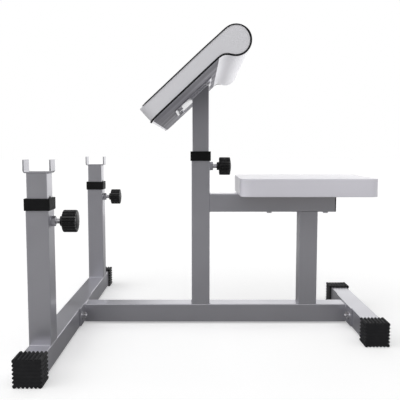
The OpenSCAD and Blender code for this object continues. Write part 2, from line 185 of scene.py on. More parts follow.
class Mat:
    def __init__(self, name, rough=0.5, metallic=0.0, specular=0.5, coat=0.0, coat_rough=0.1, sheen=0.0, ior=1.5):
        self.m = bpy.data.materials.new(name)
        self.m.use_nodes = True
        self.t = self.m.node_tree
        self.t.nodes.clear()
        self.out = self.t.nodes.new("ShaderNodeOutputMaterial")
        self.b = self.t.nodes.new("ShaderNodeBsdfPrincipled")
        self.t.links.new(self.b.outputs[0], self.out.inputs[0])
        self.b.inputs["Roughness"].default_value = rough
        self.b.inputs["Metallic"].default_value = metallic
        self.b.inputs["Specular IOR Level"].default_value = specular
        self.b.inputs["Coat Weight"].default_value = coat
        self.b.inputs["Coat Roughness"].default_value = coat_rough
        self.b.inputs["Sheen Weight"].default_value = sheen
        self.b.inputs["IOR"].default_value = ior
        self.tc = self.t.nodes.new("ShaderNodeTexCoord")
        self.height = None

    def node(self, kind, **kw):
        n = self.t.nodes.new(kind)
        for k, v in kw.items():
            if k in n.inputs:
                n.inputs[k].default_value = v
            else:
                setattr(n, k, v)
        return n

    def link(self, a, b):
        self.t.links.new(a, b)

    def coords(self, scale=(1, 1, 1), rot=(0, 0, 0)):
        mp = self.t.nodes.new("ShaderNodeMapping")
        mp.inputs["Scale"].default_value = scale
        mp.inputs["Rotation"].default_value = rot
        self.link(self.tc.outputs["Object"], mp.inputs["Vector"])
        return mp.outputs[0]

    def noise(self, scale, detail=2.0, rough=0.5, coords=None, dist=0.0):
        n = self.t.nodes.new("ShaderNodeTexNoise")
        n.inputs["Scale"].default_value = scale
        n.inputs["Detail"].default_value = detail
        n.inputs["Roughness"].default_value = rough
        n.inputs["Distortion"].default_value = dist
        self.link(coords if coords is not None else self.tc.outputs["Object"], n.inputs["Vector"])
        return n.outputs["Fac"]

    def voronoi(self, scale, coords=None, feature="F1", out="Distance", rand=1.0):
        n = self.t.nodes.new("ShaderNodeTexVoronoi")
        n.feature = feature
        n.inputs["Scale"].default_value = scale
        n.inputs["Randomness"].default_value = rand
        self.link(coords if coords is not None else self.tc.outputs["Object"], n.inputs["Vector"])
        return n.outputs[out]

    def rng(self, fac, lo, hi, a=0.0, b=1.0, smooth=False):
        n = self.t.nodes.new("ShaderNodeMapRange")
        n.interpolation_type = "SMOOTHSTEP" if smooth else "LINEAR"
        n.inputs["From Min"].default_value = lo
        n.inputs["From Max"].default_value = hi
        n.inputs["To Min"].default_value = a
        n.inputs["To Max"].default_value = b
        self.link(fac, n.inputs["Value"])
        return n.outputs[0]

    def math(self, op, a, b=None, c=None, clamp=False):
        n = self.t.nodes.new("ShaderNodeMath")
        n.operation = op
        n.use_clamp = clamp
        for i, v in enumerate((a, b, c)):
            if v is None:
                continue
            if hasattr(v, "node"):
                self.link(v, n.inputs[i])
            else:
                n.inputs[i].default_value = v
        return n.outputs[0]

    def mix(self, fac, a, b):
        n = self.t.nodes.new("ShaderNodeMix")
        n.data_type = "RGBA"
        for key, v in ((0, fac), (6, a), (7, b)):
            if hasattr(v, "node"):
                self.link(v, n.inputs[key])
            elif key == 0:
                n.inputs[0].default_value = v
            else:
                n.inputs[key].default_value = (*v, 1)
        return n.outputs[2]

    def color(self, v):
        if hasattr(v, "node"):
            self.link(v, self.b.inputs["Base Color"])
        else:
            self.b.inputs["Base Color"].default_value = (*v, 1)

    def rough(self, v):
        self.link(v, self.b.inputs["Roughness"])

    def bump(self, height, dist, strength=1.0):
        n = self.t.nodes.new("ShaderNodeBump")
        n.inputs["Strength"].default_value = strength
        n.inputs["Distance"].default_value = dist
        self.link(height, n.inputs["Height"])
        if self.height is not None:
            self.link(self.height, n.inputs["Normal"])
        self.height = n.outputs[0]
        self.link(self.height, self.b.inputs["Normal"])
        return self.height

    def corner_mask(self, lo=0.03, hi=0.22):
        """1 on rounded edges of an axis-aligned shape, 0 on its flat faces."""
        s = self.t.nodes.new("ShaderNodeSeparateXYZ")
        self.link(self.tc.outputs["Normal"], s.inputs[0])
        ab = [self.math("ABSOLUTE", s.outputs[i]) for i in range(3)]
        m = self.math("MAXIMUM", self.math("MAXIMUM", ab[0], ab[1]), ab[2])
        return self.rng(self.math("SUBTRACT", 1.0, m), lo, hi, smooth=True)


def paint(name, base, metal, rough, wear=0.5, shade=None):
    """Silver-grey powder coat: fine flake, orange peel, soft dust and thin wear on the edges; with shade given, a
    painted shadow darker towards the top.
    """
    m = Mat(name, rough=rough, metallic=metal, specular=0.5, coat=0.45, coat_rough=0.08)
    b = np.array(base)
    flake = m.rng(m.noise(2600, 1.0, 0.5), 0.35, 0.65, 0.0, 1.0)
    cloud = m.rng(m.noise(7.0, 3.0, 0.55), 0.3, 0.7, 0.0, 1.0)
    col = m.mix(m.math("MULTIPLY", flake, 0.5), tuple(b * 0.97), tuple(b * 1.06))
    col = m.mix(m.math("MULTIPLY", cloud, 0.35), col, tuple(b * 0.93))
    edge = m.corner_mask()
    chips = m.math("MULTIPLY", edge, m.rng(m.noise(160, 4.0, 0.65), 0.66, 0.76, 0.0, 0.7, smooth=True))
    rub = m.math("MULTIPLY", edge, m.rng(m.noise(18, 3.0, 0.6), 0.45, 0.75, 0.0, 0.35, smooth=True))
    col = m.mix(m.math("MULTIPLY", m.math("ADD", chips, rub, clamp=True), wear), col, tuple(np.minimum(b * 1.45 + 0.03, 0.9)))
    if shade:
        # painted shadow of the pad: darker towards the upper end, under the pad
        h = m.t.nodes.new("ShaderNodeSeparateXYZ")
        m.link(m.tc.outputs["Object"], h.inputs[0])
        col = m.mix(m.rng(h.outputs[2], shade[0], shade[1], 0.0, 0.80, smooth=True), col, tuple(b * 0.35))
    m.color(col)
    r = m.math("ADD", m.rng(m.noise(11, 3.0, 0.6), 0.3, 0.7, rough - 0.04, rough + 0.05), m.math("MULTIPLY", edge, -0.03))
    m.rough(r)
    m.bump(m.noise(420, 2.0, 0.5), 0.00004)
    m.bump(m.noise(1900, 1.0, 0.5), 0.000010)
    return m.m


def zinc(name, k=1.0):
    """Bright zinc-plated steel with faint spangle."""
    m = Mat(name, rough=0.28, metallic=1.0, specular=0.5)
    b = np.array([0.74, 0.735, 0.76]) * k
    cloud = m.noise(60, 3.0, 0.6)
    col = m.mix(m.rng(cloud, 0.35, 0.65), tuple(b * 0.86), tuple(b * 1.08))
    col = m.mix(m.rng(m.noise(400, 2.0, 0.5), 0.62, 0.75, 0.0, 0.4), col, (0.36, 0.355, 0.37))
    m.color(col)
    m.rough(m.rng(m.noise(140, 3.0, 0.6), 0.3, 0.7, 0.2, 0.38))
    m.bump(m.noise(700, 2.0, 0.5), 0.00004)
    return m.m


def black_plastic(name, rough=0.42, specular=0.2):
    """Moulded black nylon: fine spark texture, light scuffs on the edges."""
    m = Mat(name, rough=rough, specular=specular)
    b = np.array([0.0052, 0.0052, 0.0058])
    col = m.mix(m.rng(m.noise(30, 3.0, 0.6), 0.35, 0.7), tuple(b), tuple(b * 1.7))
    scuff = m.math("MULTIPLY", m.corner_mask(), m.rng(m.noise(120, 4.0, 0.7), 0.5, 0.72, 0.0, 0.7))
    col = m.mix(scuff, col, (0.045, 0.045, 0.047))
    m.color(col)
    m.rough(m.rng(m.noise(90, 3.0, 0.6), 0.3, 0.7, rough - 0.08, rough + 0.08))
    m.bump(m.voronoi(2300), 0.00003)
    m.bump(m.noise(500, 2.0, 0.5), 0.00003)
    return m.m


def rubber(name):
    """Black rubber, matt, with patchy dust."""
    m = Mat(name, rough=0.62, specular=0.4)
    b = np.array([0.0080, 0.0082, 0.0100])
    dust = m.rng(m.noise(45, 4.0, 0.6), 0.45, 0.75, 0.0, 0.5)
    col = m.mix(dust, tuple(b), (0.017, 0.017, 0.019))
    m.color(col)
    m.rough(m.rng(m.noise(70, 3.0, 0.6), 0.3, 0.7, 0.55, 0.75))
    m.bump(m.noise(1500, 2.0, 0.6), 0.00006)
    return m.m


def vinyl(name, base, rough=0.36, grain=1.0, coat=0.45, coat_rough=0.09):
    """Upholstery vinyl with a fine pebbled grain."""
    m = Mat(name, rough=rough, specular=0.42, coat=coat, coat_rough=coat_rough)
    b = np.array(base)
    wob = m.noise(9, 3.0, 0.5)
    cells = m.voronoi(900, feature="SMOOTH_F1")
    col = m.mix(m.rng(wob, 0.3, 0.7), tuple(b * 0.985), tuple(np.minimum(b * 1.01, 0.98)))
    col = m.mix(m.rng(cells, 0.55, 0.9, 0.0, 0.35), col, tuple(b * 0.9))
    m.color(col)
    m.rough(m.rng(m.noise(60, 3.0, 0.55), 0.3, 0.7, rough - 0.04, rough + 0.07))
    m.bump(m.rng(cells, 0.0, 1.0, 1.0, 0.0), 0.00009 * grain)
    m.bump(m.noise(240, 3.0, 0.55), 0.00010 * grain)
    return m.m


def piping_vinyl(name):
    m = Mat(name, rough=0.45, specular=0.3)
    b = np.array([0.0045, 0.0046, 0.0060])
    m.color(m.mix(m.rng(m.noise(200, 3.0, 0.6), 0.4, 0.7), tuple(b), tuple(b * 1.8)))
    m.rough(m.rng(m.noise(150, 3.0, 0.6), 0.3, 0.7, 0.34, 0.5))
    m.bump(m.noise(1300, 2.0, 0.6), 0.00008)
    return m.m


def grey_board(name, slope):
    """Grey-stained, lacquered plywood: dark and light streaks along the slope."""
    m = Mat(name, rough=0.52, specular=0.22)
    c = m.coords(rot=(0, math.radians(slope), 0))
    st = m.t.nodes.new("ShaderNodeMapping")
    st.inputs["Scale"].default_value = (1.0, 17.0, 6.0)
    m.link(c, st.inputs["Vector"])
    g1 = m.noise(1.5, 4.0, 0.55, coords=st.outputs[0], dist=0.5)
    g2 = m.noise(8.0, 5.0, 0.6, coords=st.outputs[0])
    col = m.mix(m.rng(g1, 0.38, 0.60, smooth=True), (0.205, 0.199, 0.226), (0.43, 0.422, 0.465))
    col = m.mix(m.rng(g2, 0.45, 0.75, 0.0, 0.6), col, (0.50, 0.49, 0.535))
    m.color(col)
    m.rough(m.rng(g2, 0.3, 0.7, 0.45, 0.60))
    m.bump(g2, 0.00015)
    return m.m


def plywood(name):
    m = Mat(name, rough=0.6, specular=0.35)
    st = m.coords(scale=(1.5, 22.0, 60.0))
    g = m.noise(3.0, 5.0, 0.6, coords=st)
    col = m.mix(m.rng(g, 0.3, 0.7), lin("8a6f4e"), lin("b89b70"))
    m.color(col)
    m.bump(g, 0.00015)
    return m.m


def hidden_steel(name):
    m = Mat(name, rough=0.4, metallic=1.0)
    b = np.array([0.6, 0.6, 0.6])
    m.color(m.mix(m.rng(m.noise(90, 3.0, 0.6), 0.3, 0.7), tuple(b * 0.85), tuple(b)))
    m.bump(m.noise(600, 2.0, 0.5), 0.00003)
    return m.m


M_FRAME = paint("frame_paint", (0.560, 0.556, 0.600), 0.87, 0.36)
M_SLIDE = paint("sliding_paint", (0.620, 0.616, 0.660), 0.87, 0.35)
M_ZINC = zinc("zinc")
# the screws: the zinc made 1.2 times brighter, a painted highlight
M_PIN_LIT = zinc("pin_zinc", 1.2)
M_BLACK = black_plastic("black_plastic", 0.55)
M_KNOB = black_plastic("knob_plastic", 0.30, 0.35)
M_BRACKET = paint("bracket_paint", (0.59, 0.586, 0.625), 0.87, 0.27)
# upper mast tube: the pad's shadow painted in, darker towards its top
M_MAST = paint("mast_paint_pad_shadow", (0.600, 0.596, 0.640), 0.87, 0.35, shade=(0.545, 0.685))
M_RUBBER = rubber("rubber")
M_VINYL = vinyl("vinyl", (0.915, 0.900, 0.970))
M_VINYL_PAD = vinyl("vinyl_pad", (0.93, 0.924, 0.962), 0.38, 1.0, 0.15, 0.15)
M_PIPING = piping_vinyl("piping")
M_BACK = grey_board("arm_pad_backing", 42.85)
M_PLY = plywood("board")

SLOT_MAT = {
    "frame_paint": M_FRAME, "sliding_paint": M_SLIDE, "zinc": M_ZINC, "black_plastic": M_BLACK,
    "rubber": M_RUBBER, "vinyl": M_VINYL, "board": M_PLY,
}
NODE_MAT = {"lock_bosses": M_FRAME, "arm_pad_bracket": M_BRACKET, "upper_mast_tube": M_MAST}
for name, ob in N.items():
    slot = ob.data.materials[0].name.split(".")[0]
    for i in range(len(ob.material_slots)):
        ob.material_slots[i].link = "OBJECT"
        ob.material_slots[i].material = NODE_MAT.get(name, SLOT_MAT[slot])


# ------------------------------------------------------------------ camera
cam_data = bpy.data.cameras.new("camera")
cam_data.sensor_width = 36.0
cam_data.lens = 50.4
cam = bpy.data.objects.new("camera", cam_data)
cam.location = (-0.0428, -1.566, 0.4844)
cam.rotation_euler = (math.radians(85.0), 0, 0)
scene.collection.objects.link(cam)
scene.camera = cam


# ------------------------------------------------------------------ softened edges on the CAD pieces
def soft_edges(node, width, segs=2, angle=35):
    ob = N[node]
    att = ob.data.attributes.get("custom_normal")
    if att is not None:
        ob.data.attributes.remove(att)
    ob.data.polygons.foreach_set("use_smooth", [True] * len(ob.data.polygons))
    w = ob.modifiers.new("weld", "WELD")
    w.merge_threshold = 0.00001
    b = ob.modifiers.new("edges", "BEVEL")
    b.width = width
    b.segments = segs
    b.limit_method = "ANGLE"
    b.angle_limit = math.radians(angle)
    b.harden_normals = True
    b.miter_outer = "MITER_ARC"
    return ob


for n in ("front_flange_plate", "rear_flange_plate", "arm_pad_bracket"):
    soft_edges(n, 0.0006)
for n in ("left_bar_catch", "right_bar_catch"):
    soft_edges(n, 0.0005)
for n in ("flange_bolts", "seat_bolts", "arm_pad_bolts", "flange_nuts"):
    soft_edges(n, 0.0005)
for n in ("left_collar", "right_collar", "mast_collar", "seat_tube_end_cap",
          "left_rack_plug", "right_rack_plug", "upper_mast_plug"):
    soft_edges(n, 0.0007, 3)
soft_edges("lock_bosses", 0.0004)


# ------------------------------------------------------------------ rubber feet
FOOT_W, FOOT_L, PITCH, RIB_D, TUBE = 0.062, 0.050, 0.0088, 0.0040, 0.050


def rib_depth(t):
    """Depth below the rib tops: seven round ribs a side, V valleys between them."""
    x = abs((t / PITCH + 0.5) % 1.0 - 0.5) * 2       # 0 on a rib's crown, 1 in the valley
    return RIB_D * (0.24 * x * x + 0.76 * float(smooth01((x - 0.22) / 0.74)))


def foot(name, x, yend, sign, node):
    """Ribbed boot. The closed end is at yend. The ribs run along the sides, and fine ones cross the end."""
    per = 84
    h = FOOT_W / 2
    ts = [(-h + FOOT_W * i / per) for i in range(per)]
    edge = 0.0009

    def side_d(t):
        d = rib_depth(t)
        c = max(0.0, 1 - (h - abs(t)) / edge)
        return min(d, RIB_D * 0.5 if h - abs(t) < 0.0012 else d) + edge * (1 - math.sqrt(max(0.0, 1 - c * c))) * 0.8

    ring = []
    for t in ts:
        ring.append((t, h - side_d(t)))
    for t in ts:
        ring.append((h - side_d(-t), -t))
    for t in ts:
        ring.append((-t, -(h - side_d(-t))))
    for t in ts:
        ring.append((-(h - side_d(t)), t))
    nr = len(ring)
    verts, faces = [], []

    def put(px, py, pz):
        verts.append((x + px, yend - sign * py, 0.031 + pz))
        return len(verts) - 1

    # outer wall, from the end face back to the mouth; the end's rim is barely rounded
    rim = 0.0007
    stations = [0.0, 0.0002, 0.0007, 0.003, 0.014, 0.030, 0.046, FOOT_L - 0.0007, FOOT_L - 0.0002, FOOT_L]
    rows = []
    for k, sy in enumerate(stations):
        row = []
        for (px, pz) in ring:
            q = min(sy, FOOT_L - sy)
            inset = rim * (1 - math.sqrt(max(0.0, 1 - (1 - min(q, rim) / rim) ** 2)))
            f = (h - inset) / h
            row.append(put(px * f, sy, pz * f))
        rows.append(row)
    for a, b in zip(rows[:-1], rows[1:]):
        for i in range(nr):
            j = (i + 1) % nr
            faces.append((a[i], a[j], b[j], b[i]))
    # end face: a grid between the four sides of the first ring
    f0 = (h - rim) / h
    grid = {}
    for i in range(per + 1):
        for j in range(per + 1):
            if i in (0, per) or j in (0, per):
                if j == per:
                    idx = rows[0][i] if i < per else rows[0][per]
                elif i == per:
                    idx = rows[0][per + (per - j)]
                elif j == 0:
                    idx = rows[0][2 * per + (per - i)]
                else:
                    idx = rows[0][3 * per + j]
                grid[i, j] = idx
    for i in range(1, per):
        for j in range(1, per):
            tx, tz = -h + FOOT_W * i / per, -h + FOOT_W * j / per
            u, v = i / per, j / per
            top = h - side_d(tx)
            side = h - side_d(tz)
            px = (-side) * (1 - u) + side * u
            pz = (-top) * (1 - v) + top * v
            px, pz = px * f0, pz * f0
            grid[i, j] = put(px, 0.06 * rib_depth(tz), pz)
    for i in range(per):
        for j in range(per):
            faces.append((grid[i, j], grid[i, j + 1], grid[i + 1, j + 1], grid[i + 1, j]))
    # mouth and bore
    inner = []
    r, w = 0.002, TUBE / 2 + 0.0001
    for (px, pz) in ring:
        s = max(abs(px), abs(pz))
        qx, qz = px / s * w, pz / s * w
        ex, ez = max(0.0, abs(qx) - (w - r)), max(0.0, abs(qz) - (w - r))
        if ex > 0 and ez > 0:
            d = math.hypot(ex, ez)
            if d > r:
                qx = math.copysign(w - r + ex * r / d, qx)
                qz = math.copysign(w - r + ez * r / d, qz)
        inner.append((qx, qz))
    mouth = [put(px, FOOT_L, pz) for px, pz in inner]
    deep = [put(px, 0.0066, pz) for px, pz in inner]
    a = rows[-1]
    for i in range(nr):
        j = (i + 1) % nr
        faces.append((a[i], a[j], mouth[j], mouth[i]))
        faces.append((mouth[i], mouth[j], deep[j], deep[i]))
    c = put(0, 0.0066, 0)
    for i in range(nr):
        faces.append((deep[i], deep[(i + 1) % nr], c))
    ob = make(name, verts, faces)
    outward(ob)
    weighted(ob, 40)
    return finish_piece(ob, "frame", "rubber", M_RUBBER, node)


foot("front_left_boot", -0.396, -0.460, -1, "front_left_foot")
foot("front_right_boot", -0.396, 0.460, 1, "front_right_foot")
foot("rear_left_boot", 0.396, -0.218, -1, "rear_left_foot")
foot("rear_right_boot", 0.396, 0.218, 1, "rear_right_foot")


# ------------------------------------------------------------------ knobs and screws
def lathe_grid(name, xs, radius, around, origin, caps=(True, True)):
    """Closed surface of revolution along X: radius(x index, angle) in metres."""
    verts, faces = [], []
    ox, oy, oz = origin
    for i, x in enumerate(xs):
        for k in range(around):
            a = 2 * math.pi * k / around
            r = radius(i, a)
            verts.append((ox + x, oy + r * math.cos(a), oz + r * math.sin(a)))
    n = len(xs)
    for i in range(n - 1):
        for k in range(around):
            k2 = (k + 1) % around
            faces.append((i * around + k, i * around + k2, (i + 1) * around + k2, (i + 1) * around + k))
    for end, i in ((0, 0), (1, n - 1)):
        if caps[end]:
            verts.append((ox + xs[i], oy, oz))
            c = len(verts) - 1
            for k in range(around):
                faces.append((i * around + k, i * around + (k + 1) % around, c))
    ob = make(name, verts, faces)
    outward(ob)
    return ob


RIBS = 20


def knob(name, origin, body, node):
    # (distance from the tube's middle, radius, share of the full rib depth)
    prof = [
        (45.0, 6.2, 0), (45.0, 10.3, 0), (45.1, 10.8, 0), (45.4, 11.1, 0), (46.5, 11.2, 0), (48.5, 11.2, 0), (50.2, 11.2, 0),
        (50.7, 11.3, 0), (51.0, 11.6, 0), (51.15, 12.2, 0), (51.2, 13.5, 0), (51.2, 17.5, 0), (51.3, 20.6, 0.1),
        (51.6, 22.6, 0.45), (52.2, 23.9, 0.85), (52.9, 24.5, 1), (54.0, 24.75, 1), (60.0, 24.75, 1), (66.0, 24.75, 1),
        (72.0, 24.75, 1), (79.2, 24.75, 1), (80.3, 24.6, 1), (81.1, 24.2, 1), (81.7, 23.4, 0.9), (82.05, 22.4, 0.6),
        (82.2, 21.4, 0.25), (82.25, 20.6, 0.0), (82.25, 19.8, 0), (82.1, 19.3, 0), (81.9, 18.9, 0), (82.1, 18.5, 0),
        (82.6, 17.8, 0), (83.4, 15.4, 0), (84.1, 12.4, 0), (84.6, 8.8, 0), (84.9, 5.0, 0), (85.0, 2.0, 0),
    ]
    xs = [p[0] * MM for p in prof]

    def radius(i, a):
        x, r, share = prof[i]
        t = (a * RIBS / (2 * math.pi)) % 1.0
        d = abs(t - 0.5) * 2                      # 1 in the valley, 0 on the rib top
        cut = smooth01((d - 0.42) / 0.40)
        crown = 0.12 * d * d
        return (r - share * (2.35 * float(cut) + crown)) * MM

    ob = lathe_grid(name, xs, radius, RIBS * 14, origin)
    weighted(ob, 50)
    return finish_piece(ob, body, "black_plastic", M_KNOB, node)


def screw(name, origin, body, node):
    """Threaded locking screw with a dog point; it ends inside the knob."""
    p, r, d = 1.75, 6.0, 0.62
    x0, x1 = 23.3, 66.5
    around = 40
    xs = [x0, x0, x0 + 1.0, x0 + 3.4, x0 + 4.0]
    base = [0.0, 4.4, 5.1, 5.1, 5.3]
    n0 = len(xs)
    step = p / 8
    x = x0 + 4.3
    while x < x1 - 0.4:
        xs.append(x)
        x += step
    n1 = len(xs)
    xs += [x1 - 0.2, x1]

    def radius(i, a):
        if i < n0:
            return base[i] * MM if i else 0.3 * MM
        if i >= n1:
            return (5.4 if i == n1 else 4.9) * MM
        t = ((xs[i] / p) - a / (2 * math.pi)) % 1.0
        v = abs(t - 0.5) * 2
        fade = min(1.0, (xs[i] - xs[n0]) / 1.5)
        return (r - 0.02 - d * float(smooth01((v - 0.15) / 0.7)) * (0.4 + 0.6 * fade)) * MM

    ob = lathe_grid(name, [v * MM for v in xs], radius, around, origin)
    weighted(ob, 70)
    return finish_piece(ob, body, "zinc", M_PIN_LIT, node)


LOCKS = {"left": (-0.396, -0.336, 0.3302), "right": (-0.396, 0.336, 0.3302), "mast": (-0.041, 0.0, 0.4426)}
KNOBS, PINS = [], []
for side, o in LOCKS.items():
    KNOBS.append(knob(side + "_ribbed_knob", o, side + "_turn_knob", side + "_knob"))
    PINS.append(screw(side + "_lock_screw", o, side + "_pin", side + "_lock_pin"))


# ------------------------------------------------------------------ weld beads
def bead(name, path, r, closed, body, slot, mat, seed=0):
    p = resample(path, 0.0012, closed)
    n = len(p)
    s = np.arange(n) * 0.0012
    ph = 0.7 * seed
    rad = r * (1 + 0.08 * np.abs(np.sin(math.pi * s / 0.0030 + ph)) + 0.03 * np.sin(s / 0.011 + ph))
    if not closed:
        end = np.minimum(np.arange(n), n - 1 - np.arange(n)) * 0.0012
        rad = rad * np.sqrt(np.clip(end / 0.003, 0.05, 1))
    return sweep(name, p, rad, 10, closed)


def straight(a, b):
    return [a, b]


welds = []
zt = 0.056
for y in (-0.336, 0.336):
    for s in (-1, 1):
        yy = y + s * 0.0252
        welds.append(bead("w", straight((-0.396 - 0.0230, yy, zt + 0.0002), (-0.396 + 0.0230, yy, zt + 0.0002)), 0.0014, False, "", "", None, len(welds)))
for xx in (-0.041, 0.2585):
    for s in (-1, 1):
        xe = xx + s * 0.0252
        welds.append(bead("w", straight((xe, -0.0230, zt + 0.0002), (xe, 0.0230, zt + 0.0002)), 0.0014, False, "", "", None, len(welds)))
for s in (-1, 1):
    xe = 0.2585 + s * 0.0252
    welds.append(bead("w", straight((xe, -0.0230, 0.3165), (xe, 0.0230, 0.3165)), 0.0014, False, "", "", None, len(welds)))
for zz in (0.3167, 0.3667):
    sg = -1 if zz < 0.34 else 1
    welds.append(bead("w", straight((-0.0158, -0.0230, zz + sg * 0.0002), (-0.0158, 0.0230, zz + sg * 0.0002)), 0.0014, False, "", "", None, len(welds)))
for xe in (-0.3658, 0.3658):
    top = [(xe, y, 0.0561) for y in (-0.0230, 0.0230)]
    welds.append(bead("w", top, 0.0014, False, "", "", None, len(welds)))
    for s in (-1, 1):
        welds.append(bead("w", [(xe, s * 0.0251, 0.0525), (xe, s * 0.0251, 0.0125)], 0.0014, False, "", "", None, len(welds)))
for side in ("left", "right"):
    o = LOCKS[side]
    ring = [(o[0] + 0.0252, o[1] + 0.0112 * math.cos(a), o[2] + 0.0112 * math.sin(a)) for a in np.linspace(0, 2 * math.pi, 40, endpoint=False)]
    welds.append(bead("w", ring, 0.0011, True, "", "", None, len(welds)))
o = LOCKS["mast"]
ring = [(o[0] + 0.0252, o[1] + 0.0112 * math.cos(a), o[2] + 0.0112 * math.sin(a)) for a in np.linspace(0, 2 * math.pi, 40, endpoint=False)]
welds.append(bead("w", ring, 0.0011, True, "", "", None, len(welds)))
finish_piece(join("frame_weld_beads", welds), "frame", "frame_paint", M_FRAME)

for side, y in (("left", -0.336), ("right", 0.336)):
    beads = []
    for s in (-1, 1):
        xe = -0.396 + s * 0.0227
        beads.append(bead("w", [(xe, y - 0.0165, 0.4363), (xe, y + 0.0165, 0.4363)], 0.0013, False, "", "", None, 3))
    finish_piece(join(side + "_catch_welds", beads), side + "_rack", "sliding_paint", M_SLIDE)


# ------------------------------------------------------------------ arm pad
SL = math.radians(42.85)
PU = np.array([math.cos(SL), 0.0, math.sin(SL)])
PN = np.array([-math.sin(SL), 0.0, math.cos(SL)])
PO = np.array([0.0383, 0.0, 0.733])


def pad_pt(s, y, n):
    """Millimetres in the pad's own frame to metres in the row frame."""
    return PO + (PU * s + PN * n) * MM + np.array([0.0, y * MM, 0.0])


def cloth_puff(ob, limit, pressure, frames=20, seed_shift=None):
    """Swells ob under pressure. limit is how far each point may move, in metres. Points with 0 stay pinned."""
    me = ob.data
    n = len(me.vertices)
    co = np.zeros(n * 3)
    me.vertices.foreach_get("co", co)
    co = co.reshape(-1, 3)
    vg = ob.vertex_groups.new(name="pin")
    for i in range(n):
        vg.add([i], float(1.0 if limit[i] < 1e-6 else 0.0), "REPLACE")
    cl = ob.modifiers.new("cloth", "CLOTH")
    st = cl.settings
    st.quality = 6
    st.mass = 0.25
    st.tension_stiffness = 12
    st.compression_stiffness = 12
    st.shear_stiffness = 6
    st.bending_stiffness = 0.8
    st.use_pressure = True
    st.uniform_pressure_force = pressure
    st.vertex_group_mass = "pin"
    st.effector_weights.gravity = 0
    cl.collision_settings.use_collision = False
    cl.point_cache.frame_start = 1
    cl.point_cache.frame_end = frames
    for f in range(1, frames + 1):
        scene.frame_set(f)
    dg = bpy.context.evaluated_depsgraph_get()
    ev = ob.evaluated_get(dg)
    me2 = ev.to_mesh()
    c2 = np.zeros(n * 3)
    me2.vertices.foreach_get("co", c2)
    ev.to_mesh_clear()
    c2 = c2.reshape(-1, 3)
    ob.modifiers.remove(cl)
    ob.vertex_groups.remove(vg)
    scene.frame_set(1)
    d = c2 - co
    ln = np.linalg.norm(d, axis=1)
    # a soft cap on the movement
    k = np.where(ln > 1e-9, limit * np.tanh(ln / np.maximum(limit, 1e-9)) / np.maximum(ln, 1e-9), 0)
    co2 = co + d * k[:, None]
    me.vertices.foreach_set("co", co2.reshape(-1))
    me.update()


def ring_subset(a, b, n):
    return [a + (b - a) * i / n for i in range(1, n + 1)]


